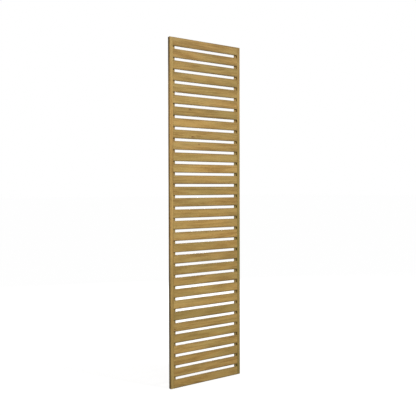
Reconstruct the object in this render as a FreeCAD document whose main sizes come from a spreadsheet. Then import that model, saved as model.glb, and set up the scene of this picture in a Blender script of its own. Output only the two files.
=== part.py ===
# Slatted trellis panel: flat slats lie on the tongues of two upright stiles, flush with the
# stiles' fronts, and are stapled to the tongues from behind. Millimetres. +Z is up, +X runs
# to the right of the panel, the front faces -Y, and the origin lies under the middle of the
# panel, on the ground.
import FreeCAD
import Part
import Sketcher
import enum
import os

# Driving sizes: name in the sheet, value, and what it measures.
DRIVING_SIZES = (
    ("panel_width", 450, "overall width over both stiles"),
    ("slat_count", 31, "number of slats, one above the other"),
    ("slat_height", 45, "face height of one slat"),
    ("slat_gap", 13.5, "open gap between two slats"),
    ("slat_thickness", 6, "thickness of a slat, which is also the depth of the front rebate"),
    ("slat_edge_radius", 1, "rounding along the four long edges of a slat"),
    ("slat_end_clearance", 0.5, "gap between a slat's end and the wall of the rebate"),
    ("lip_width", 19, "front face of a stile, outside the slat ends"),
    ("tongue_width", 15, "tongue of a stile, behind the slat ends"),
    ("tongue_thickness", 5, "thickness of that tongue, front to back"),
    ("back_rebate_depth", 6, "depth of the rebate behind the tongue"),
    ("stile_edge_radius", 2, "rounding along the two outer edges of a stile"),
    ("tongue_edge_radius", 1, "rounding along the back edge of a tongue"),
    ("stile_end_chamfer", 1.5, "bevel round the sawn ends of a stile"),
    ("staple_crown", 12, "staple, outside width over both legs"),
    ("staple_wire_width", 1.3, "staple wire, across the panel"),
    ("staple_wire_thickness", 1, "staple wire, in the plane of the staple"),
    ("staple_sink", 0.3, "depth of the crown below the back of the tongue"),
    ("staple_bite_share", 0.6, "share of the slat's thickness that the legs enter"),
    ("rounding_limit_share", 0.45, "largest rounding as a share of the wall it is on"),
)

# Expressions in the sheet's names that several pieces share.
TONGUE_BACK = "(Sizes.slat_thickness + Sizes.tongue_thickness)"
PANEL_DEPTH = "(Sizes.slat_thickness + Sizes.tongue_thickness + Sizes.back_rebate_depth)"
PITCH = "(Sizes.slat_height + Sizes.slat_gap)"
PANEL_HEIGHT = "(Sizes.slat_count * Sizes.slat_height + (Sizes.slat_count - 1) * Sizes.slat_gap)"
SLAT_LENGTH = "(Sizes.panel_width - 2 * Sizes.lip_width - 2 * Sizes.slat_end_clearance)"
STILE_WIDTH = "(Sizes.lip_width + Sizes.tongue_width)"

# Two places count as the same within this share of the panel's depth.
SAME_PLACE_SHARE = 0.001


class SketchId(enum.IntEnum):
    """The numbers by which a sketch names its axes, its origin and the two ends of a line."""

    HORIZONTAL_AXIS = -1
    VERTICAL_AXIS = -2
    ORIGIN = -1
    LINE_START = 1
    LINE_END = 2


def fill_sheet(doc):
    """Put the driving sizes into a spreadsheet, one row each."""
    sheet = doc.addObject("Spreadsheet::Sheet", "Sizes")
    for row, (alias, size, meaning) in enumerate(DRIVING_SIZES, start=1):
        sheet.set("A%d" % row, alias)
        sheet.set("B%d" % row, str(size))
        sheet.set("C%d" % row, meaning)
        sheet.setAlias("B%d" % row, alias)
    doc.recompute()
    return sheet


def rounding(radius, wall):
    """A rounding that stays within its share of the wall it is on."""
    return "min(Sizes.%s; Sizes.rounding_limit_share * %s)" % (radius, wall)


def new_sketch(body, role):
    """Add a sketch on one of the body's own origin planes."""
    planes = [feature for feature in body.Origin.OriginFeatures if feature.Role == role]
    sketch = body.newObject("Sketcher::SketchObject", body.Name + "_outline")
    sketch.AttachmentSupport = [(planes[0], "")]
    sketch.MapMode = "FlatFace"
    return sketch


def tie_corner(sketch, line, kind, axis, expression):
    """Fix one coordinate of a line's start: on an axis for zero, else at a distance from the origin."""
    if expression == "0":
        sketch.addConstraint(Sketcher.Constraint("PointOnObject", line, SketchId.LINE_START, axis))
        return
    distance = sketch.evalExpression(expression)
    start = SketchId.LINE_START
    tie = Sketcher.Constraint(kind, SketchId.ORIGIN, start, line, start, distance)
    number = sketch.addConstraint(tie)
    sketch.setExpression("Constraints[%d]" % number, expression)


def draw_outline(sketch, corners):
    """Draw a closed outline of straight lines, with both coordinates of each corner tied to the sheet."""
    points = []
    for across, along in corners:
        place = [sketch.evalExpression(expression) for expression in (across, along)]
        points.append(FreeCAD.Vector(place[0], place[1], 0))
    for number, start in enumerate(points):
        sketch.addGeometry(Part.LineSegment(start, points[(number + 1) % len(points)]), False)
    for number, (across, along) in enumerate(corners):
        before = (number - 1) % len(points)
        joint = Sketcher.Constraint("Coincident", before, SketchId.LINE_END, number, SketchId.LINE_START)
        sketch.addConstraint(joint)
        tie_corner(sketch, number, "DistanceX", SketchId.VERTICAL_AXIS, across)
        tie_corner(sketch, number, "DistanceY", SketchId.HORIZONTAL_AXIS, along)


def add_pad(body, sketch, length):
    """Carry a sketch straight out by a length from the sheet."""
    pad = body.newObject("PartDesign::Pad", body.Name + "_length")
    pad.Profile = sketch
    pad.setExpression("Length", length)
    return pad


def place_body(body, across, back, up):
    """Bind a body's place in the panel to the sheet."""
    body.setExpression("Placement.Base.x", across)
    body.setExpression("Placement.Base.y", back)
    body.setExpression("Placement.Base.z", up)


def named_edges(feature, is_wanted):
    """Names of the edges of a feature whose two end points both pass a test."""
    names = []
    for number, edge in enumerate(feature.Shape.Edges, start=1):
        if is_wanted([vertex.Point for vertex in edge.Vertexes]):
            names.append("Edge%d" % number)
    return names


def add_slat_board(doc):
    """The lowest slat before stapling: a board across the panel with its long edges rounded."""
    body = doc.addObject("PartDesign::Body", "slat_board")
    sketch = new_sketch(body, "YZ_Plane")
    draw_outline(sketch, (
        ("0", "0"),
        ("Sizes.slat_thickness", "0"),
        ("Sizes.slat_thickness", "Sizes.slat_height"),
        ("0", "Sizes.slat_height"),
    ))
    pad = add_pad(body, sketch, SLAT_LENGTH)
    doc.recompute()

    def runs_along_slat(ends):
        return abs(ends[0].x - ends[1].x) > body.evalExpression(SLAT_LENGTH) / 2

    edges = body.newObject("PartDesign::Fillet", body.Name + "_edges")
    edges.Base = (pad, named_edges(pad, runs_along_slat))
    edges.setExpression("Radius", rounding("slat_edge_radius", "Sizes.slat_thickness"))
    place_body(body, "-%s / 2" % SLAT_LENGTH, "-%s / 2" % PANEL_DEPTH, "0")
    return body


def add_slat_copy(doc, number, lowest_slat):
    """A further slat: the lowest one, staple holes and all, repeated higher up the panel."""
    body = doc.addObject("PartDesign::Body", "slat_%02d" % number)
    copy = body.newObject("PartDesign::FeatureBase", body.Name + "_copy")
    copy.BaseFeature = lowest_slat
    body.Tip = copy
    place_body(body, "0", "0", "%d * %s" % (number - 1, PITCH))
    return body


def add_stile(doc, name, is_right):
    """One stile before stapling: an upright with a tongue between two rebates on its inner edge.

    The outline is drawn from the outer edge inwards. The right stile turns the same
    outline over about the front-to-back line, which swaps its sides but not its front.
    """
    body = doc.addObject("PartDesign::Body", name + "_rebated")
    sketch = new_sketch(body, "XY_Plane")
    draw_outline(sketch, (
        ("0", "0"),
        ("Sizes.lip_width", "0"),
        ("Sizes.lip_width", "Sizes.slat_thickness"),
        (STILE_WIDTH, "Sizes.slat_thickness"),
        (STILE_WIDTH, TONGUE_BACK),
        ("Sizes.lip_width", TONGUE_BACK),
        ("Sizes.lip_width", PANEL_DEPTH),
        ("0", PANEL_DEPTH),
    ))
    pad = add_pad(body, sketch, PANEL_HEIGHT)
    if is_right:
        half_turn = FreeCAD.Rotation(FreeCAD.Vector(0, 1, 0), 180)
        sketch.AttachmentOffset = FreeCAD.Placement(FreeCAD.Vector(), half_turn)
        pad.Reversed = True
    doc.recompute()
    tongue_back = body.evalExpression(TONGUE_BACK)
    width = body.evalExpression(STILE_WIDTH)
    same_place = SAME_PLACE_SHARE * body.evalExpression(PANEL_DEPTH)

    def is_upright(ends):
        return abs(ends[0].z - ends[1].z) > body.evalExpression(PANEL_HEIGHT) / 2

    def is_outer_upright(ends):
        return is_upright(ends) and abs(ends[0].x) < same_place

    def is_tongue_back_upright(ends):
        return is_upright(ends) and abs(abs(ends[0].x) - width) + abs(ends[0].y - tongue_back) < same_place

    def is_end_edge(ends):
        is_level = abs(ends[0].z - ends[1].z) < same_place
        is_on_tongue = all(abs(end.x) > body.evalExpression("Sizes.lip_width") - same_place for end in ends)
        return is_level and not is_on_tongue

    outer = body.newObject("PartDesign::Fillet", body.Name + "_outer_edges")
    outer.Base = (pad, named_edges(pad, is_outer_upright))
    outer.setExpression("Radius", rounding("stile_edge_radius", PANEL_DEPTH))
    doc.recompute()
    inner = body.newObject("PartDesign::Fillet", body.Name + "_inner_edge")
    inner.Base = (outer, named_edges(outer, is_tongue_back_upright))
    inner.setExpression("Radius", rounding("tongue_edge_radius", "Sizes.tongue_thickness"))
    doc.recompute()
    ends = body.newObject("PartDesign::Chamfer", body.Name + "_ends")
    ends.Base = (inner, named_edges(inner, is_end_edge))
    ends.setExpression("Size", rounding("stile_end_chamfer", "Sizes.lip_width"))
    side = "" if is_right else "-"
    place_body(body, side + "Sizes.panel_width / 2", "-%s / 2" % PANEL_DEPTH, "0")
    return body


def add_staples(doc, name, is_right):
    """The staples of one stile, one behind each slat: a bent wire with its legs pointing forwards."""
    body = doc.addObject("PartDesign::Body", name)
    sketch = new_sketch(body, "YZ_Plane")
    tip = "(Sizes.slat_thickness * (1 - Sizes.staple_bite_share))"
    back = "(%s - Sizes.staple_sink)" % TONGUE_BACK
    under_crown = "(%s - Sizes.staple_wire_thickness)" % back
    inside_top = "(Sizes.staple_crown - Sizes.staple_wire_thickness)"
    draw_outline(sketch, (
        (back, "0"),
        (back, "Sizes.staple_crown"),
        (tip, "Sizes.staple_crown"),
        (tip, inside_top),
        (under_crown, inside_top),
        (under_crown, "Sizes.staple_wire_thickness"),
        (tip, "Sizes.staple_wire_thickness"),
        (tip, "0"),
    ))
    wire = add_pad(body, sketch, "Sizes.staple_wire_width")
    wire.SideType = "Symmetric"
    column = body.newObject("PartDesign::LinearPattern", name + "_column")
    column.Originals = [wire]
    column.Direction = (sketch, ["V_Axis"])
    column.Mode = "Spacing"
    column.setExpression("Offset", PITCH)
    column.setExpression("Occurrences", "Sizes.slat_count")
    body.Tip = column
    side = "" if is_right else "-"
    across = side + "(Sizes.panel_width / 2 - Sizes.lip_width - Sizes.tongue_width / 2)"
    place_body(body, across, "-%s / 2" % PANEL_DEPTH, "(Sizes.slat_height - Sizes.staple_crown) / 2")
    return body


def add_stapled(doc, name, board, staples):
    """A finished board: the rough one with the room that the staples take pressed out of it."""
    cut = doc.addObject("Part::Cut", name)
    cut.Base = board
    cut.Tool = staples
    return cut


def check_document(doc, pieces):
    """Stop if any object failed to compute or any piece isn't a valid solid."""
    for item in doc.Objects:
        if "Invalid" in item.State or "Error" in item.State:
            raise RuntimeError("%s failed: %s" % (item.Label, item.State))
    for piece in pieces:
        if piece.Shape.isNull() or not piece.Shape.isValid() or not piece.Shape.Solids:
            raise RuntimeError("%s has no valid solid" % piece.Label)


def main():
    doc = FreeCAD.newDocument("slatted_trellis")
    sheet = fill_sheet(doc)
    left_staples = add_staples(doc, "left_staples", False)
    right_staples = add_staples(doc, "right_staples", True)
    all_staples = doc.addObject("Part::Compound", "all_staples")
    all_staples.Links = [left_staples, right_staples]
    left_stile = add_stapled(doc, "left_stile", add_stile(doc, "left_stile", False), left_staples)
    right_stile = add_stapled(doc, "right_stile", add_stile(doc, "right_stile", True), right_staples)
    lowest_slat = add_stapled(doc, "slat_01", add_slat_board(doc), all_staples)
    pieces = [left_stile, right_stile, left_staples, right_staples, lowest_slat]
    for number in range(2, int(sheet.slat_count) + 1):
        pieces.append(add_slat_copy(doc, number, lowest_slat))
    doc.recompute()
    check_document(doc, pieces)
    os.makedirs("parts", exist_ok=True)
    for piece in pieces:
        piece.Shape.exportStep("parts/%s.step" % piece.Label)


main()
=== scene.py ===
import math

import bpy
import numpy as np
from bpy.props import FloatProperty, FloatVectorProperty, IntProperty, PointerProperty
from mathutils import Matrix, Vector


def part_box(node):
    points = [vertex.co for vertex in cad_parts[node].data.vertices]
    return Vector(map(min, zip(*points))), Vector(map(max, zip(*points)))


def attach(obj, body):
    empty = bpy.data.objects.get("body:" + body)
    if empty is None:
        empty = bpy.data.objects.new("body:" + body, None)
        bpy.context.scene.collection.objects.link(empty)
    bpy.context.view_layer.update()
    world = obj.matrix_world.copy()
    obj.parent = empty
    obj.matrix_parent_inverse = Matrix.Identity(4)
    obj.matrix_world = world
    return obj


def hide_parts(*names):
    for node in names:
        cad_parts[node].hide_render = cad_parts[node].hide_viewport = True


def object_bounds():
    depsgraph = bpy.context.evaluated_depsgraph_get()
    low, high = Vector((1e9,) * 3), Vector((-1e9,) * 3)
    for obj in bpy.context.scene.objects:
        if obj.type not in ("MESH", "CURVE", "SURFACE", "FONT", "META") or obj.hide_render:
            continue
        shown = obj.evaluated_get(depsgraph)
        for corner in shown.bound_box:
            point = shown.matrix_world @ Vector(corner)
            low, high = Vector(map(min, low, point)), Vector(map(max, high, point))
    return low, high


bl_info = {
    "name": "Slatted trellis panel",
    "version": (1, 0, 0),
    "blender": (4, 5, 0),
    "location": "3D View > Sidebar > Trellis",
    "description": "Makes the slats, stiles and staples of a slatted trellis panel, and a plain stage",
    "category": "Object",
}

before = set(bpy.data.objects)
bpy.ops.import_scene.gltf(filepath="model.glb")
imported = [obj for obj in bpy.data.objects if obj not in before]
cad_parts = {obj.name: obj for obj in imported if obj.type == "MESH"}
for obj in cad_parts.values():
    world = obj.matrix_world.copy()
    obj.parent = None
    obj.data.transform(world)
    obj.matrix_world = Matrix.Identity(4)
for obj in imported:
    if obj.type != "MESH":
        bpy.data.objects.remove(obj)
CAD_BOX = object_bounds()
SLATS = sorted(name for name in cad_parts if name.startswith("slat_"))
MM = 0.001
TOLERANCE = 0.01 * MM

# The photograph's viewpoint, solved from the panel's outline and gaps: metres, degrees and millimetres.
CAMERA_PLACE = (-1.8009, -2.6034, 1.0350)
CAMERA_YAW, CAMERA_PITCH, CAMERA_ROLL = 34.913, -1.375, -0.124
CAMERA_LENS, CAMERA_SENSOR = 51.548, 36.0
CAMERA_SHIFT_UP = -0.015

# How the treatment shows up each stile: heights where it starts and is full, and its two strengths.
SOAK = {"left": (0.82, 0.45, 0.05, 0.25), "right": (1.65, 0.95, 0.10, 1.00)}

# How much painted shade each stile's tongue gets in the gap ends, where the slats and lips shade it.
TONGUE_SHADE = {"left": 0.35, "right": 0.05}

# How much darker both ends of a stile's outer side are, painted shade at the foot: heights where that
# starts and where it is full.
END_DARKENING = 0.90
FOOT_SHADE_HEIGHTS = (1.00, 0.35)
HEAD_DARKENING_HEIGHTS = (1.50, 1.75)

# How much of the treatment the end grain of a stile drew in, and how far that reaches from its ends.
END_GRAIN_SOAK, END_GRAIN_REACH = 0.20, 0.12

# How light each stile is at its foot and at its head, and how light both are beside the slats.
STILE_TONES = {"left": (0.87, 1.10), "right": (0.76, 1.05)}
STILE_LEVEL = 1.04

# How light the lowest and the highest slat are beside their neighbours.
END_SLAT_TONES = {SLATS[0]: 0.90, SLATS[-1]: 0.95}

# The least and the most treatment that a slat took, and the share of the panel's height with a foot shade.
SLAT_SOAK = (0.05, 0.40)
FOOT_SHADE_REACH = 0.35

# Where boards lay in their logs: millimetres from the pith, its lean, and metres of trunk to draw from.
PITH_DISTANCES = (28, 95)
PITH_LEAN = 0.03
TRUNK_LENGTH = 40

# How often rounded edges are worn along a slat and up a metre of stile, in how many waves of what gain.
SLAT_WEAR_RUN, STILE_WEAR_RUN = 2.3, 1.7
WEAR_WAVES, WEAR_GAIN = 9, 2.2

# How finely boards are divided: steps round an edge, rows of points along a slat and up a stile, and the
# share of the easing at a slat's end where a row lies.
ARC_STEPS = 6
SLAT_ROWS, SLAT_ROWS_FROM_END = 48, 6 * MM
STILE_ROWS, STILE_ROWS_FROM_END = 140, 8 * MM
EASE_MIDDLE = 0.3

# Where lines of points run along the faces, from the corner that comes first round each section.
SLAT_EDGE_LINES = np.array([2.2, 3.6]) * MM
SLAT_FACE_SHARES = np.linspace(0.12, 0.88, 9)
LIP_FRONT_LINES = np.array([6, 10, 14]) * MM
LIP_BACK_LINES = np.array([5, 9, 13]) * MM
OUTER_SIDE_LINES = np.array([6, 9, 12]) * MM
REBATE_WALL_LINES = np.array([3]) * MM
TONGUE_FRONT_LINES = np.array([7]) * MM
TONGUE_EDGE_LINES = np.array([2.5]) * MM
TONGUE_BACK_LINES = np.array([3, 12]) * MM

# The width of the slope round a staple's groove, and the number that starts each stile's random draws.
GROOVE_WALL = 0.1 * MM
STILE_DRAWS = {"left": 101, "right": 102}

# The wire of the staples: its bend in thicknesses of wire, the steps of that bend, the sides of the wire,
# how round it is, where 1 is round and less is squarer, and how far from the tips a row of points lies.
WIRE_BEND = 0.9
WIRE_BEND_STEPS, WIRE_SIDES = 5, 12
WIRE_ROUNDNESS = 0.55
LEG_ROW = 4 * MM

# Faces of a board or of a wire that meet at more than these angles have a sharp edge between them.
BOARD_SHARP_ANGLE, WIRE_SHARP_ANGLE = math.radians(35), math.radians(50)

# The lamps: kind, place, target, size and the property that holds its power.
LAMPS = {
    "key": ("SUN", (1.6, -2.6, 1.8), (0, 0, 0), math.radians(12), "sun"),
    "front_soft": ("AREA", (-0.8, -2.4, 1.35), (0, 0, 1.1), 1.2, "front"),
    "side_soft": ("AREA", (-2.4, -0.8, 2.0), (0, 0, 1.2), 1.4, "side"),
    "back_soft": ("AREA", (1.2, 3.0, 1.4), (0, 0, 0.9), 1.8, "back"),
}


class TrellisBoards(bpy.types.PropertyGroup):
    """Sizes of the boards that the frame's boxes don't give."""

    slat_rounding: FloatProperty(
        name="Slat rounding", description="Rounding along the four long edges of a slat",
        default=1.0 * MM, unit="LENGTH")
    stile_rounding: FloatProperty(
        name="Stile rounding", description="Rounding along the two outer edges of a stile",
        default=2.0 * MM, unit="LENGTH")
    tongue_rounding: FloatProperty(
        name="Tongue rounding", description="Rounding along the back edge of a stile's tongue",
        default=1.0 * MM, unit="LENGTH")
    arris: FloatProperty(
        name="Arris", description="Rounding of the edges that are only sanded off",
        default=0.35 * MM, unit="LENGTH")
    end_bevel: FloatProperty(
        name="Stile end bevel", description="Bevel round the sawn ends of a stile",
        default=1.5 * MM, unit="LENGTH")
    saw_ease: FloatProperty(
        name="Slat end ease", description="Easing round the sawn ends of a slat",
        default=0.3 * MM, unit="LENGTH")
    end_clearance: FloatProperty(
        name="Slat end clearance", description="Gap between a slat's end and the wall of the rebate",
        default=0.5 * MM, unit="LENGTH")
    bow: FloatProperty(
        name="Bow", description="How far a slat may bend between the stiles",
        default=0.3 * MM, unit="LENGTH")
    cup: FloatProperty(
        name="Cup", description="How far the face of a slat may hollow across its height",
        default=0.12 * MM, unit="LENGTH")
    wear: FloatProperty(
        name="Edge wear", description="Depth of the worn places along rounded edges",
        default=0.18 * MM, unit="LENGTH")


class TrellisStaples(bpy.types.PropertyGroup):
    """Sizes of the staples and of the grooves that their crowns press into the tongues."""

    crown: FloatProperty(
        name="Crown", description="Outside width of a staple over both legs",
        default=12.0 * MM, unit="LENGTH")
    wire: FloatProperty(
        name="Wire thickness", description="Thickness of the wire in the plane of the staple",
        default=1.0 * MM, unit="LENGTH")
    sink: FloatProperty(
        name="Sink", description="Depth of a crown below the back of the tongue",
        default=0.3 * MM, unit="LENGTH")
    groove_depth: FloatProperty(
        name="Groove depth", description="Depth of the groove round a crown",
        default=0.9 * MM, unit="LENGTH")
    groove_play: FloatProperty(
        name="Groove play", description="Room between the crown and the wall of its groove",
        default=0.12 * MM, unit="LENGTH")
    galvanised: FloatVectorProperty(
        name="Galvanised wire", description="Colour of the zinc on the wire",
        default=(0.40, 0.40, 0.39), size=3, subtype="COLOR")


class TrellisTimber(bpy.types.PropertyGroup):
    """Colours and grain of the treated softwood, and the painted shade of its edges."""

    springwood: FloatVectorProperty(
        name="Springwood", description="Pale wood of a growth ring",
        default=(0.496, 0.323, 0.107), size=3, subtype="COLOR")
    summerwood: FloatVectorProperty(
        name="Summerwood", description="Dark wood of a growth ring",
        default=(0.281, 0.158, 0.042), size=3, subtype="COLOR")
    treated: FloatVectorProperty(
        name="Treatment", description="Olive cast that the treatment leaves in patches",
        default=(0.262, 0.196, 0.053), size=3, subtype="COLOR")
    warm_cast: FloatVectorProperty(
        name="Warm cast", description="Tint of the warm patches",
        default=(1.00, 0.945, 0.88), size=3, subtype="COLOR")
    olive_cast: FloatVectorProperty(
        name="Olive cast", description="Tint of the patches that took more treatment",
        default=(0.94, 0.985, 1.00), size=3, subtype="COLOR")
    knot: FloatVectorProperty(
        name="Knot", description="Heart of a knot",
        default=(0.150, 0.070, 0.022), size=3, subtype="COLOR")
    # Colour of the edge mask: painted shade along slat edges and on stile tongues, darker stile ends, and
    # soaked end grain
    edge_shade_and_soak: FloatVectorProperty(
        name="Soaked edge", description="Edges and rebates that drank more of the treatment",
        default=(0.110, 0.076, 0.027), size=3, subtype="COLOR")
    # Reach, fall and upper-edge share shape the painted shade along a slat's edges, strongest at its lower
    # edge
    edge_reach: FloatProperty(
        name="Edge reach", description="How far the soaked edges reach on to a slat's faces",
        default=7.0 * MM, unit="LENGTH")
    edge_fall: FloatProperty(
        name="Edge fall", description="Power by which the soaking falls off over that reach", default=0.9)
    upper_edge: FloatProperty(
        name="Upper edge", description="How much of the lower edge's soaking a slat's upper edge shows",
        default=0.45, subtype="FACTOR")
    foot_shade: FloatProperty(
        name="Foot shade", description="How much darker the lowest slats are",
        default=0.13, subtype="FACTOR")
    ring_spacing: FloatProperty(
        name="Ring spacing", description="Width of one growth ring",
        default=3.6 * MM, unit="LENGTH")
    board_spread: FloatProperty(
        name="Board spread", description="How much one board is lighter or darker than the next",
        default=0.045, subtype="FACTOR")
    seed: IntProperty(
        name="Seed", description="Start of the random draws for the boards", default=11)


class TrellisStage(bpy.types.PropertyGroup):
    """Light and floor of the stage."""

    sun: FloatProperty(
        name="Key light", description="Strength of the broad light from the right front", default=2.55)
    front: FloatProperty(
        name="Front light", description="Power of the soft light before the panel", default=12.0)
    side: FloatProperty(
        name="Side light", description="Power of the soft light at the left of the panel", default=8.6)
    back: FloatProperty(
        name="Back light", description="Power of the soft light behind the panel", default=85.0)
    ambient: FloatProperty(
        name="Ambient", description="Strength of the even light from all round", default=0.25)
    floor: FloatVectorProperty(
        name="Floor", description="Colour of the floor as the lamps see it",
        default=(0.20, 0.20, 0.20), size=3, subtype="COLOR")
    floor_glow: FloatProperty(
        name="Floor glow", description="What the camera sees of the floor besides its lit colour",
        default=0.86)


class Nodes:
    """A short way to write a node tree: a call adds a node, feeds its inputs and gives an output."""

    def __init__(self, tree):
        self.tree = tree
        tree.nodes.clear()

    def add(self, kind, feeds=(), **settings):
        """Add a node, set its settings and feed its inputs with sockets or plain values."""
        node = self.tree.nodes.new(kind)
        for name, value in settings.items():
            setattr(node, name, value)
        for name, value in dict(feeds).items():
            if isinstance(value, bpy.types.NodeSocket):
                self.tree.links.new(value, node.inputs[name])
            else:
                node.inputs[name].default_value = value
        return node

    def attribute(self, name, output="Fac"):
        """One of the mesh's own attributes."""
        return self.add("ShaderNodeAttribute", attribute_name=name).outputs[output]

    def math(self, operation, first, second=0.0, clamp=False):
        """One operation on one or two numbers."""
        feeds = {0: first, 1: second}
        return self.add("ShaderNodeMath", feeds, operation=operation, use_clamp=clamp).outputs[0]

    def vector(self, operation, first, second=(0, 0, 0), output="Vector"):
        """One operation on one or two vectors."""
        return self.add("ShaderNodeVectorMath", {0: first, 1: second}, operation=operation).outputs[output]

    def noise(self, place, stretch, detail, roughness=0.5):
        """Smooth noise from 0 to 1 with its own scale along each axis."""
        scaled = self.vector("MULTIPLY", place, stretch)
        feeds = {"Vector": scaled, "Scale": 1.0, "Detail": detail, "Roughness": roughness}
        return self.add("ShaderNodeTexNoise", feeds).outputs["Fac"]

    def spread(self, value, start, end, low=0.0, high=1.0):
        """Carry a number smoothly from one range to another, and no further."""
        feeds = {"Value": value, "From Min": start, "From Max": end, "To Min": low, "To Max": high}
        return self.add("ShaderNodeMapRange", feeds, interpolation_type="SMOOTHSTEP").outputs["Result"]

    def mix(self, share, first, second, blend="MIX"):
        """Two colours mixed by a share."""
        node = self.add("ShaderNodeMix", data_type="RGBA", blend_type=blend)
        for index, value in ((0, share), (6, first), (7, second)):
            if isinstance(value, bpy.types.NodeSocket):
                self.tree.links.new(value, node.inputs[index])
            else:
                node.inputs[index].default_value = value
        return node.outputs[2]


def opaque(colour, level=1.0):
    """A colour property as the four numbers of a colour socket."""
    return (colour[0] * level, colour[1] * level, colour[2] * level, 1.0)


def timber_material(name, timber, level):
    """Treated softwood, coloured by each point's place in the log that its board was sawn from.

    The attribute log gives metres along the trunk and the two ways across it from the pith. Rings are
    steps of the distance from the pith, made uneven by noise and bent outwards round knots. Knots sit
    in random cells of the trunk's surface, measured along it and round it.
    """
    material = bpy.data.materials.new(name)
    material.use_nodes = True
    nodes = Nodes(material.node_tree)
    log = nodes.attribute("log", "Vector")
    parts = nodes.add("ShaderNodeSeparateXYZ", {"Vector": log})
    across = nodes.vector("MULTIPLY", log, (0, 1, 1))
    radius = nodes.vector("LENGTH", across, output="Value")
    turn = nodes.math("ARCTAN2", parts.outputs["Z"], parts.outputs["Y"])

    # Knots in a twentieth of the cells, each with a size of its own
    cell = nodes.add("ShaderNodeCombineXYZ", {
        "X": nodes.math("MULTIPLY", parts.outputs["X"], 12.0),
        "Y": nodes.math("MULTIPLY", turn, 0.84)})
    cells = nodes.add("ShaderNodeTexVoronoi", {"Vector": cell.outputs[0], "Scale": 1.0},
                      voronoi_dimensions="2D", feature="F1")
    draw = nodes.add("ShaderNodeSeparateColor", {"Color": cells.outputs["Color"]})
    is_knot = nodes.math("GREATER_THAN", draw.outputs[0], 0.95)
    size = nodes.math("MULTIPLY_ADD", draw.outputs[1], 0.045)
    size.node.inputs[2].default_value = 0.035
    away = nodes.math("DIVIDE", cells.outputs["Distance"], size)
    heart = nodes.math("MULTIPLY", is_knot, nodes.spread(away, 1.2, 0.8))
    halo = nodes.math("MULTIPLY", is_knot, nodes.spread(away, 3.0, 0.9))

    # Growth rings
    drift = nodes.noise(log, (1.6, 24, 24), 3.0)
    bend = nodes.math("MULTIPLY", nodes.math("SUBTRACT", drift, 0.5), 7.0 * MM)
    round_knot = nodes.math("MULTIPLY", is_knot, nodes.spread(away, 5.0, 0.5))
    swirl = nodes.math("MULTIPLY", round_knot, 5.0 * MM)
    reach = nodes.math("ADD", nodes.math("ADD", radius, bend), swirl)
    phase = nodes.math("FRACT", nodes.math("DIVIDE", reach, timber.ring_spacing))
    rise = nodes.spread(phase, 0.25, 0.88)
    fall = nodes.spread(phase, 1.0, 0.95)
    ring = nodes.math("MULTIPLY", rise, fall)

    # Fibres, streaks and patches
    streak = nodes.noise(log, (4.0, 210, 210), 4.0, 0.6)
    fibre = nodes.noise(log, (16.0, 2300, 2300), 2.0)
    fleck = nodes.noise(log, (55.0, 260, 260), 1.0)
    patch = nodes.noise(log, (3.2, 16, 16), 2.0)
    blotch = nodes.noise(log, (6.5, 42, 42), 3.0)
    sawn = nodes.attribute("sawn_end")
    mixed = nodes.math("MULTIPLY", ring, nodes.spread(sawn, 0.0, 1.0, 0.42, 0.95))
    mixed = nodes.math("ADD", mixed, nodes.spread(streak, 0.28, 0.72, -0.16, 0.42))
    mixed = nodes.math("ADD", mixed, nodes.spread(fibre, 0.25, 0.75, -0.09, 0.09))
    mixed = nodes.math("ADD", mixed, nodes.spread(fleck, 0.25, 0.75, -0.14, 0.14))
    mixed = nodes.math("ADD", mixed, nodes.spread(blotch, 0.28, 0.72, -0.30, 0.42), clamp=True)
    wood = nodes.mix(mixed, opaque(timber.springwood, level), opaque(timber.summerwood, level))
    cast = nodes.noise(nodes.vector("ADD", log, (7.0, 3.0, 5.0)), (4.5, 26, 26), 2.0)
    cast = nodes.mix(nodes.spread(cast, 0.32, 0.68), opaque(timber.warm_cast), opaque(timber.olive_cast))
    wood = nodes.mix(1.0, wood, cast, "MULTIPLY")
    patches = nodes.spread(patch, 0.30, 0.65, 0.45, 1.0)
    soaked = nodes.math("MULTIPLY", nodes.attribute("treatment"), patches)
    wood = nodes.mix(soaked, wood, opaque(timber.treated, level))
    wood = nodes.mix(nodes.math("MULTIPLY", halo, 0.5), wood, opaque(timber.summerwood, level))
    wood = nodes.mix(nodes.math("MULTIPLY", heart, 0.85), wood, opaque(timber.knot, level))

    # Painted shade on slat edges and tongues, darker stile ends, sawn ends drink the treatment, worn edges
    # are a little paler, and boards differ
    edge = nodes.math("MULTIPLY", nodes.attribute("edge"), nodes.spread(blotch, 0.25, 0.75, 0.70, 0.98))
    wood = nodes.mix(edge, wood, opaque(timber.edge_shade_and_soak, level))
    wood = nodes.mix(nodes.math("MULTIPLY", sawn, 0.60), wood, opaque(timber.treated, 0.50))
    worn = nodes.math("MULTIPLY", nodes.attribute("worn"), nodes.spread(blotch, 0.35, 0.65, 0.05, 0.35))
    wood = nodes.mix(worn, wood, opaque(timber.springwood, 1.08 * level))
    feeds = {0: wood, "Scale": nodes.attribute("tone")}
    toned = nodes.add("ShaderNodeVectorMath", feeds, operation="SCALE")

    # Relief and gloss follow the same grain
    height = nodes.math("MULTIPLY", ring, 0.55)
    height = nodes.math("ADD", height, nodes.math("MULTIPLY", fibre, 0.45))
    height = nodes.math("ADD", height, nodes.math("MULTIPLY", streak, 0.35))
    height = nodes.math("ADD", height, nodes.math("MULTIPLY", heart, 0.4))
    relief = nodes.add("ShaderNodeBump", {"Height": height, "Strength": 0.45, "Distance": 0.35 * MM})
    rough = nodes.spread(streak, 0.3, 0.7, 0.56, 0.72)
    rough = nodes.math("SUBTRACT", rough, nodes.math("MULTIPLY", heart, 0.14))
    shader = nodes.add("ShaderNodeBsdfPrincipled", {
        "Base Color": toned.outputs["Vector"], "Roughness": rough, "Normal": relief.outputs["Normal"],
        "Specular IOR Level": 0.18})
    nodes.add("ShaderNodeOutputMaterial", {"Surface": shader.outputs[0]})
    return material


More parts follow.
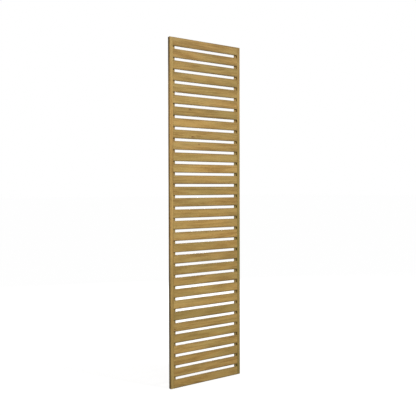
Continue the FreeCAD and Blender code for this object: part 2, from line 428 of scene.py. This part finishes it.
def wire_material(name, colour):
    """Galvanised wire: grey metal with crystals of zinc, drawn lines along it and a few dull spots."""
    material = bpy.data.materials.new(name)
    material.use_nodes = True
    nodes = Nodes(material.node_tree)
    place = nodes.add("ShaderNodeTexCoord").outputs["Object"]
    crystal = nodes.add("ShaderNodeTexVoronoi", {"Vector": place, "Scale": 900.0}, feature="F1")
    grey = nodes.add("ShaderNodeSeparateColor", {"Color": crystal.outputs["Color"]}).outputs[0]
    dull = nodes.noise(place, (500, 500, 500), 3.0)
    drawn = nodes.noise(place, (6000, 6000, 300), 2.0)
    zinc = nodes.mix(nodes.math("MULTIPLY", grey, 0.5), opaque(colour), opaque(colour, 1.25))
    zinc = nodes.mix(nodes.spread(dull, 0.58, 0.72, 0.0, 0.6), zinc, (0.26, 0.22, 0.18, 1.0))
    rough = nodes.spread(dull, 0.4, 0.7, 0.58, 0.76)
    rough = nodes.math("ADD", rough, nodes.math("MULTIPLY", grey, 0.08))
    relief = nodes.add("ShaderNodeBump", {"Height": drawn, "Strength": 0.25, "Distance": 0.05 * MM})
    shader = nodes.add("ShaderNodeBsdfPrincipled", {
        "Base Color": zinc, "Metallic": 1.0, "Roughness": rough, "Normal": relief.outputs["Normal"]})
    nodes.add("ShaderNodeOutputMaterial", {"Surface": shader.outputs[0]})
    return material


def corners_of(node):
    """Lowest and highest corner of a node of the frame, as arrays."""
    return tuple(np.array(corner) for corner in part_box(node))


def section(corners, roundings, bevels, marks):
    """Outline of a board's section, walked anticlockwise: its points, their inward moves and their wear.

    A corner with rounding r becomes the arc corner + r * (out - in + in sin t - out cos t), where in
    and out are the directions of the edges before and after it and t runs over a quarter turn. Marks
    put more points on an edge, at distances from its first corner. The inward move is the sum of the
    inward normals of the edges at a point, taken only from edges that have a bevel. Wear is sin 2t on
    an arc and nothing on a flat.
    """
    corners = np.asarray(corners, float)
    edges = np.roll(corners, -1, axis=0) - corners
    directions = edges / np.linalg.norm(edges, axis=1, keepdims=True)
    inward = np.stack([-directions[:, 1], directions[:, 0]], axis=1) * np.asarray(bevels, float)[:, None]
    points, moves, worn = [], [], []
    for number, corner in enumerate(corners):
        before, after = directions[number - 1], directions[number]
        rounding = roundings[number]
        turn = np.linspace(0, np.pi / 2, ARC_STEPS + 1 if rounding else 1)[:, None]
        arc = corner + rounding * (after - before + np.sin(turn) * before - np.cos(turn) * after)
        flat = corner + np.asarray(marks[number], float).reshape(-1, 1) * after
        points += [arc, flat]
        moves += [np.repeat([inward[number - 1] + inward[number]], len(arc), axis=0),
                  np.repeat([inward[number]], len(flat), axis=0)]
        worn += [np.sin(2 * turn[:, 0]) if rounding else np.zeros(1), np.zeros(len(flat))]
    return np.concatenate(points), np.concatenate(moves), np.concatenate(worn)


def waves(along, rng, count):
    """A smooth random line from -1 to 1: the mean of a few sine waves with random phases."""
    order = np.arange(1, count + 1)
    phases = rng.uniform(0, 2 * np.pi, count)
    return np.sin(2 * np.pi * along[:, None] * order + phases).mean(axis=1)


def edge_wear(run, depth, rng):
    """How deep rounded edges are worn along a run: the positive stretches of a smooth random line."""
    return depth * np.clip(waves(run, rng, WEAR_WAVES) * WEAR_GAIN, 0, 1)


def fade(place, start, full):
    """0 up to a start, 1 past the place where it is full, and s * s * (3 - 2s) at share s of the way."""
    share = np.clip((place - start) / (full - start), 0, 1)
    return share * share * (3 - 2 * share)


def log_places(along, first, second, rng):
    """Where each point of a board lay in its log: a random way up the trunk, and across from a pith
    that lies a random distance to one side of the board and leans a little along it."""
    angle = rng.uniform(0, 2 * np.pi)
    distance = rng.uniform(*PITH_DISTANCES) * MM
    lean = rng.uniform(-PITH_LEAN, PITH_LEAN, 2)
    start = rng.uniform(0, TRUNK_LENGTH)
    return np.stack([
        along + start,
        first - distance * np.cos(angle) + lean[0] * along,
        second - distance * np.sin(angle) + lean[1] * along], axis=-1)


def board_mesh(name, rings, log, worn, edge, tone, treatment):
    """Closed mesh of a board from rings of points: quads join each ring to the next, and one flat face
    closes each end. Rings run anticlockwise seen from the far end, so that faces point outwards."""
    count, around = rings.shape[:2]
    grid = np.arange(count * around).reshape(count, around)
    beside = np.roll(grid, -1, axis=1)
    quads = np.stack([grid[:-1], beside[:-1], beside[1:], grid[1:]], axis=-1).reshape(-1, 4)
    mesh = bpy.data.meshes.new(name)
    mesh.from_pydata(rings.reshape(-1, 3), [], quads.tolist() + [grid[0, ::-1].tolist(), grid[-1].tolist()])
    places = log.ravel().astype(np.float32)
    mesh.attributes.new("log", "FLOAT_VECTOR", "POINT").data.foreach_set("vector", places)
    for label, values in (("worn", worn), ("edge", edge), ("tone", tone), ("treatment", treatment)):
        values = np.broadcast_to(values, (count, around)).ravel().astype(np.float32)
        mesh.attributes.new(label, "FLOAT", "POINT").data.foreach_set("value", values)
    sawn = np.zeros(len(mesh.polygons), np.float32)
    sawn[-2:] = 1
    mesh.attributes.new("sawn_end", "FLOAT", "FACE").data.foreach_set("value", sawn)
    mesh.polygons.foreach_set("use_smooth", np.ones(len(mesh.polygons), bool))
    mesh.set_sharp_from_angle(angle=BOARD_SHARP_ANGLE)
    mesh.update()
    return mesh


def add_piece(mesh, material, node):
    """Put a finished mesh into the scene in place of a node of the frame."""
    piece = bpy.data.objects.new(mesh.name, mesh)
    bpy.context.scene.collection.objects.link(piece)
    mesh.materials.append(material)
    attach(piece, "root")
    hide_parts(node)
    return piece


def slat_mesh(name, node, boards, timber, number):
    """A slat: a rounded rectangle carried along X, eased at its sawn ends, with a slight bow and cup.

    At share s of the free length between the tongues and height h from -1 to 1 across the face, a
    point moves up or down by bow * 4s(1-s), and back by that much of the bow and of the cup, which is
    1 - h * h on a hollow face and h * h on a round one. Rounded edges sink where they are worn.
    """
    low, high = corners_of(node)
    rng = np.random.default_rng([timber.seed, number])
    half_depth, half_height = (high[1] - low[1]) / 2, (high[2] - low[2]) / 2
    height, depth = 2 * half_height, 2 * half_depth
    face_marks = np.concatenate([
        SLAT_EDGE_LINES, SLAT_FACE_SHARES * height, height - SLAT_EDGE_LINES[::-1]])
    points, moves, worn = section(
        [(-half_depth, -half_height), (half_depth, -half_height),
         (half_depth, half_height), (-half_depth, half_height)],
        [boards.slat_rounding] * 4, [1] * 4, [[depth / 2], face_marks, [depth / 2], face_marks])
    length = high[0] - low[0]
    easing = np.array([0, EASE_MIDDLE * boards.saw_ease, boards.saw_ease])
    rows = np.linspace(SLAT_ROWS_FROM_END, length - SLAT_ROWS_FROM_END, SLAT_ROWS)
    along = np.concatenate([easing, rows, length - easing[::-1]])
    inset = np.concatenate([easing[::-1], np.zeros(SLAT_ROWS), easing])
    wear = edge_wear(along / length * SLAT_WEAR_RUN, boards.wear, rng)
    move_in = inset[:, None] + wear[:, None] * worn
    across = points[:, 0] + moves[:, 0] * move_in
    up = points[:, 1] + moves[:, 1] * move_in
    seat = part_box("left_stile")[1][0] - low[0]
    free = np.clip((along - seat) / (length - 2 * seat), 0, 1)
    hump = (4 * free * (1 - free))[:, None]
    bend_back, bend_up = rng.uniform(-1, 1, 2) * boards.bow
    bend_up = np.clip(bend_up, CAD_BOX[0][2] - low[2], CAD_BOX[1][2] - high[2])
    cup = rng.uniform(-1, 1) * boards.cup
    bulge = (points[:, 1] / half_height) ** 2
    hollow = cup * (1 - bulge) if cup > 0 else -cup * bulge
    centre = (low + high) / 2
    rings = np.stack([
        np.broadcast_to((low[0] + along)[:, None], across.shape),
        centre[1] + across + hump * (abs(bend_back) + hollow),
        centre[2] + up + hump * bend_up], axis=-1)
    log = log_places(np.broadcast_to(along[:, None], across.shape), across, up, rng)
    tone = 1 + timber.board_spread * np.clip(rng.normal(), -2, 2)
    tone *= 1 - timber.foot_shade * np.clip(1 - centre[2] / (FOOT_SHADE_REACH * CAD_BOX[1][2]), 0, 1)
    tone *= END_SLAT_TONES.get(node, 1)
    # Painted shade along a slat's long edges: full at the lower edge, weaker at the upper one
    edge = np.clip(1 - (half_height - np.abs(points[:, 1])) / timber.edge_reach, 0, 1) ** timber.edge_fall
    edge = edge * np.where(points[:, 1] > 0, timber.upper_edge, 1)
    return board_mesh(name, rings, log, worn, edge, tone, rng.uniform(*SLAT_SOAK))


def slat_boxes():
    """Lowest and highest corners of all slats, from the lowest slat up."""
    return np.array([corners_of(slat) for slat in SLATS])


def stile_shade_and_treatment(side, points, up, lip, rounding):
    """How a stile is coloured at each point: its shaded, darkened and soaked places, its olive cast and its
    tone.

    Its tongue gets painted shade, both ends of its outer side are darker, with painted shade at the foot,
    and its end grain is soaked. Cast and tone change up the stile, from its foot to its head.
    """
    foot, head = up[0], up[-1]
    tongue = TONGUE_SHADE[side] * (points[:, 0] > lip - TOLERANCE)
    ends = np.maximum(fade(up, *FOOT_SHADE_HEIGHTS), fade(up, *HEAD_DARKENING_HEIGHTS))[:, None]
    outer_side = np.clip(1 - points[:, 0] / rounding, 0, 1)
    from_end = np.minimum(up - foot, head - up)
    end_grain = END_GRAIN_SOAK * fade(from_end, END_GRAIN_REACH, 0)[:, None]
    edge = np.maximum(tongue + END_DARKENING * ends * outer_side, end_grain)
    start, full, least, most = SOAK[side]
    cast = least + (most - least) * fade(up, start, full)[:, None]
    foot_tone, head_tone = STILE_TONES[side]
    tone = foot_tone + (head_tone - foot_tone) * ((up - foot) / (head - foot))[:, None]
    return edge, cast, tone


def stile_mesh(name, node, boards, staples, timber, side):
    """A stile: a section with a tongue between two rebates, carried up Z and bevelled at its sawn ends.

    The section is drawn for the left stile, and mirrored with its points in reverse order for the
    right one. The tongue's back has a groove per staple: it sinks by groove depth * ramp(x) * ramp(z),
    where each ramp is 1 over a crown, 0 past its groove and straight between.
    """
    low, high = corners_of(node)
    boxes = slat_boxes()
    slat_high = boxes[0, 1]
    rng = np.random.default_rng([timber.seed, STILE_DRAWS[side]])
    width = high[0] - low[0]
    front, back, seat = low[1], high[1], slat_high[1]
    lip = CAD_BOX[1][0] - slat_high[0] - boards.end_clearance
    wire_low, wire_high = corners_of("left_staples")
    tongue_back = wire_high[1] + staples.sink
    wire_middle = (wire_low[0] + wire_high[0]) / 2 - CAD_BOX[0][0]
    half_wire = (wire_high[0] - wire_low[0]) / 2 + staples.groove_play
    wall = GROOVE_WALL
    columns = width - (wire_middle + np.array([half_wire + wall, half_wire, -half_wire, -half_wire - wall]))
    tongue_marks = np.sort(np.concatenate([TONGUE_BACK_LINES, columns]))
    arris = boards.arris
    points, moves, worn = section(
        [(0, front), (lip, front), (lip, seat), (width, seat),
         (width, tongue_back), (lip, tongue_back), (lip, back), (0, back)],
        [boards.stile_rounding, arris, 0, arris, boards.tongue_rounding, 0, arris, boards.stile_rounding],
        [1, 0, 0, 0, 0, 0, 1, 1],
        [LIP_FRONT_LINES, REBATE_WALL_LINES, TONGUE_FRONT_LINES, TONGUE_EDGE_LINES,
         tongue_marks, REBATE_WALL_LINES, LIP_BACK_LINES, OUTER_SIDE_LINES])
    crown_half = staples.crown / 2 + staples.groove_play
    middles = boxes[:, :, 2].mean(axis=1)
    steps = np.array([-crown_half - wall, -crown_half, crown_half, crown_half + wall])
    bevel = boards.end_bevel
    rows = np.linspace(low[2] + STILE_ROWS_FROM_END, high[2] - STILE_ROWS_FROM_END, STILE_ROWS)
    stations = np.unique(np.concatenate([rows, (middles[:, None] + steps).ravel()]).round(6))
    up = np.concatenate([[low[2], low[2] + bevel], stations, [high[2] - bevel, high[2]]])
    inset = np.concatenate([[bevel, 0], np.zeros(len(stations)), [0, bevel]])
    wear = edge_wear((up - low[2]) * STILE_WEAR_RUN, boards.wear, rng)
    move_in = inset[:, None] + wear[:, None] * worn
    across = points[:, 0] + moves[:, 0] * move_in
    depth = points[:, 1] + moves[:, 1] * move_in
    ramp_across = np.clip((half_wire + wall - np.abs(across - wire_middle)) / wall, 0, 1)
    nearest = np.abs(up[:, None] - middles).min(axis=1)
    ramp_up = np.clip((crown_half + wall - nearest) / wall, 0, 1)[:, None]
    is_tongue_back = np.abs(points[:, 1] - tongue_back) < TOLERANCE
    depth = depth - staples.groove_depth * ramp_across * ramp_up * is_tongue_back
    is_right = side == "right"
    inward = -1 if is_right else 1
    outer = CAD_BOX[1][0] if is_right else CAD_BOX[0][0]
    rings = np.stack([
        outer + inward * across, depth, np.broadcast_to(up[:, None], across.shape)], axis=-1)
    log = log_places(np.broadcast_to(up[:, None], across.shape), across - width / 2, depth, rng)
    edge, cast, tone = stile_shade_and_treatment(side, points, up, lip, boards.stile_rounding)
    if is_right:
        rings, log, worn, edge = rings[:, ::-1], log[:, ::-1], worn[::-1], edge[:, ::-1]
    return board_mesh(name, rings, log, worn, edge, tone, cast)


def staple_mesh(name, node, staples):
    """The staples of one stile: a rounded wire carried along a U that points forwards, one per slat.

    The path runs back along one leg, round a quarter circle, along the crown, round the other corner
    and forwards. A point of the wire is path + a * X + b * (the path's normal), with (a, b) on a
    superellipse of the wire's width and thickness.
    """
    low, high = corners_of(node)
    half_width, half_thick = (high[0] - low[0]) / 2, staples.wire / 2
    bend = WIRE_BEND * staples.wire
    half_span = staples.crown / 2 - half_thick
    line = high[1] - half_thick
    turn = np.linspace(0, np.pi / 2, WIRE_BEND_STEPS + 1)
    corner_back = line - bend + bend * np.sin(turn)
    corner_up = -half_span + bend - bend * np.cos(turn)
    leg_back = [low[1], low[1] + LEG_ROW]
    path_back = np.concatenate([leg_back, corner_back, corner_back[::-1], leg_back[::-1]])
    path_up = np.concatenate([[-half_span] * 2, corner_up, -corner_up[::-1], [half_span] * 2])
    heading = np.concatenate([[0, 0], turn, np.pi - turn[::-1], [np.pi, np.pi]])
    angle = np.linspace(0, 2 * np.pi, WIRE_SIDES, endpoint=False)
    side = half_width * np.sign(np.cos(angle)) * np.abs(np.cos(angle)) ** WIRE_ROUNDNESS
    thick = half_thick * np.sign(np.sin(angle)) * np.abs(np.sin(angle)) ** WIRE_ROUNDNESS
    middles = slat_boxes()[:, :, 2].mean(axis=1)
    shape = (len(middles), len(path_back), len(angle))
    across = np.broadcast_to((low[0] + high[0]) / 2 + side, shape)
    back = np.broadcast_to(path_back[:, None] + np.sin(heading)[:, None] * thick, shape)
    up = middles[:, None, None] + path_up[:, None] - np.cos(heading)[:, None] * thick
    grid = np.arange(across.size).reshape(shape)
    beside = np.roll(grid, -1, axis=2)
    quads = np.stack([grid[:, :-1], beside[:, :-1], beside[:, 1:], grid[:, 1:]], axis=-1).reshape(-1, 4)
    mesh = bpy.data.meshes.new(name)
    mesh.from_pydata(np.stack([across, back, up], axis=-1).reshape(-1, 3), [],
                     quads.tolist() + grid[:, 0, ::-1].tolist() + grid[:, -1].tolist())
    mesh.polygons.foreach_set("use_smooth", np.ones(len(mesh.polygons), bool))
    mesh.set_sharp_from_angle(angle=WIRE_SHARP_ANGLE)
    mesh.update()
    return mesh


class TRELLIS_OT_slats(bpy.types.Operator):
    """Make every slat of the panel"""

    bl_idname = "trellis.slats"
    bl_label = "Make slats"

    def execute(self, context):
        scene = context.scene
        material = timber_material("slat_timber", scene.trellis_timber, 1.0)
        for number, node in enumerate(SLATS, start=1):
            mesh = slat_mesh(node + "_board", node, scene.trellis_boards, scene.trellis_timber, number)
            add_piece(mesh, material, node)
        return {"FINISHED"}


class TRELLIS_OT_stiles(bpy.types.Operator):
    """Make the two tongued stiles"""

    bl_idname = "trellis.stiles"
    bl_label = "Make stiles"

    def execute(self, context):
        scene = context.scene
        material = timber_material("stile_timber", scene.trellis_timber, STILE_LEVEL)
        for side in ("left", "right"):
            mesh = stile_mesh(side + "_stile_upright", side + "_stile", scene.trellis_boards,
                              scene.trellis_staples, scene.trellis_timber, side)
            add_piece(mesh, material, side + "_stile")
        return {"FINISHED"}


class TRELLIS_OT_staples(bpy.types.Operator):
    """Make the wire staples behind the tongues"""

    bl_idname = "trellis.staples"
    bl_label = "Make staples"

    def execute(self, context):
        staples = context.scene.trellis_staples
        material = wire_material("staple_wire", staples.galvanised)
        for side in ("left", "right"):
            mesh = staple_mesh(side + "_staples_wire", side + "_staples", staples)
            add_piece(mesh, material, side + "_staples")
        return {"FINISHED"}


def seen_directly(nodes):
    """1 for rays that the camera, a reflection or clear glass sends straight to a surface, else 0."""
    path = nodes.add("ShaderNodeLightPath")
    seen = nodes.math("MAXIMUM", path.outputs["Is Camera Ray"], path.outputs["Is Glossy Ray"])
    return nodes.math("MAXIMUM", seen, path.outputs["Is Transmission Ray"])


def add_lamp(name, kind, place, target, energy, size):
    """A lamp that points from a place at a target."""
    lamp = bpy.data.lights.new(name, kind)
    lamp.energy = energy
    if kind == "SUN":
        lamp.angle = size
    else:
        lamp.shape = "DISK"
        lamp.size = size
    item = bpy.data.objects.new(name, lamp)
    bpy.context.scene.collection.objects.link(item)
    item.location = place
    item.rotation_euler = (Vector(target) - Vector(place)).to_track_quat("-Z", "Y").to_euler()
    return item


class TRELLIS_OT_stage(bpy.types.Operator):
    """Make the floor, the light and the camera"""

    bl_idname = "trellis.stage"
    bl_label = "Make stage"

    def execute(self, context):
        scene = context.scene
        stage = scene.trellis_stage
        scene.view_settings.view_transform = "Standard"
        self.add_floor(scene, stage)
        self.add_world(scene, stage)
        for name, (kind, place, target, size, power) in LAMPS.items():
            add_lamp(name, kind, place, target, getattr(stage, power), size)
        self.add_camera(scene)
        return {"FINISHED"}

    def add_floor(self, scene, stage):
        """A wide pale floor just under the panel: its lit colour keeps the shadow, and a glow that only
        the camera and reflections see lifts it to white."""
        reach, drop = 60.0, 0.2 * MM
        mesh = bpy.data.meshes.new("floor")
        corners = np.array([(-1, -1), (1, -1), (1, 1), (-1, 1)]) * reach
        mesh.from_pydata(np.column_stack([corners, np.full(4, -drop)]), [], [(0, 1, 2, 3)])
        floor = bpy.data.objects.new("floor", mesh)
        scene.collection.objects.link(floor)
        material = bpy.data.materials.new("floor_paint")
        material.use_nodes = True
        nodes = Nodes(material.node_tree)
        lit = nodes.add("ShaderNodeBsdfDiffuse", {"Color": opaque(stage.floor)})
        level = nodes.math("MULTIPLY", seen_directly(nodes), stage.floor_glow)
        glow = nodes.add("ShaderNodeEmission", {"Color": (1, 1, 1, 1), "Strength": level})
        both = nodes.add("ShaderNodeAddShader", {0: lit.outputs[0], 1: glow.outputs[0]})
        nodes.add("ShaderNodeOutputMaterial", {"Surface": both.outputs[0]})
        mesh.materials.append(material)

    def add_world(self, scene, stage):
        """White where it is seen, and a dim even light on everything else."""
        world = bpy.data.worlds.new("studio")
        world.use_nodes = True
        nodes = Nodes(world.node_tree)
        rest = 1.0 - stage.ambient
        level = nodes.math("ADD", nodes.math("MULTIPLY", seen_directly(nodes), rest), stage.ambient)
        sky = nodes.add("ShaderNodeBackground", {"Color": (1, 1, 1, 1), "Strength": level})
        nodes.add("ShaderNodeOutputWorld", {"Surface": sky.outputs[0]})
        scene.world = world

    def add_camera(self, scene):
        """The photograph's viewpoint: forward is turned by yaw and pitch, and roll turns the picture."""
        yaw, pitch, roll = (math.radians(angle) for angle in (CAMERA_YAW, CAMERA_PITCH, CAMERA_ROLL))
        ahead, rise = math.cos(pitch), math.sin(pitch)
        forward = Vector((math.sin(yaw) * ahead, math.cos(yaw) * ahead, rise))
        level = Vector((math.cos(yaw), -math.sin(yaw), 0))
        upright = level.cross(forward)
        right = math.cos(roll) * level + math.sin(roll) * upright
        up = math.cos(roll) * upright - math.sin(roll) * level
        camera = bpy.data.cameras.new("photo_view")
        camera.sensor_width = CAMERA_SENSOR
        camera.lens = CAMERA_LENS
        camera.shift_y = CAMERA_SHIFT_UP
        item = bpy.data.objects.new("photo_view", camera)
        scene.collection.objects.link(item)
        turn = Matrix((right, up, -forward)).transposed().to_4x4()
        item.matrix_world = Matrix.Translation(CAMERA_PLACE) @ turn
        scene.camera = item


class TRELLIS_PT_panel(bpy.types.Panel):
    """Sizes, colours and makers of the trellis panel"""

    bl_idname = "TRELLIS_PT_panel"
    bl_label = "Trellis"
    bl_space_type = "VIEW_3D"
    bl_region_type = "UI"
    bl_category = "Trellis"

    def draw(self, context):
        for group in GROUPS:
            box = self.layout.box()
            settings = getattr(context.scene, group)
            for name in settings.__annotations__:
                box.prop(settings, name)
        for operator in OPERATORS:
            self.layout.operator(operator.bl_idname)


GROUPS = {
    "trellis_boards": TrellisBoards,
    "trellis_staples": TrellisStaples,
    "trellis_timber": TrellisTimber,
    "trellis_stage": TrellisStage,
}
OPERATORS = (TRELLIS_OT_slats, TRELLIS_OT_stiles, TRELLIS_OT_staples, TRELLIS_OT_stage)


def register():
    for group in GROUPS.values():
        bpy.utils.register_class(group)
    for name, group in GROUPS.items():
        setattr(bpy.types.Scene, name, PointerProperty(type=group))
    for operator in OPERATORS:
        bpy.utils.register_class(operator)
    bpy.utils.register_class(TRELLIS_PT_panel)


def unregister():
    bpy.utils.unregister_class(TRELLIS_PT_panel)
    for operator in reversed(OPERATORS):
        bpy.utils.unregister_class(operator)
    for name, group in reversed(GROUPS.items()):
        delattr(bpy.types.Scene, name)
        bpy.utils.unregister_class(group)


def main():
    """Make all pieces and the stage."""
    register()
    bpy.ops.trellis.stage()
    bpy.ops.trellis.stiles()
    bpy.ops.trellis.slats()
    bpy.ops.trellis.staples()


if __name__ == "__main__":
    main()
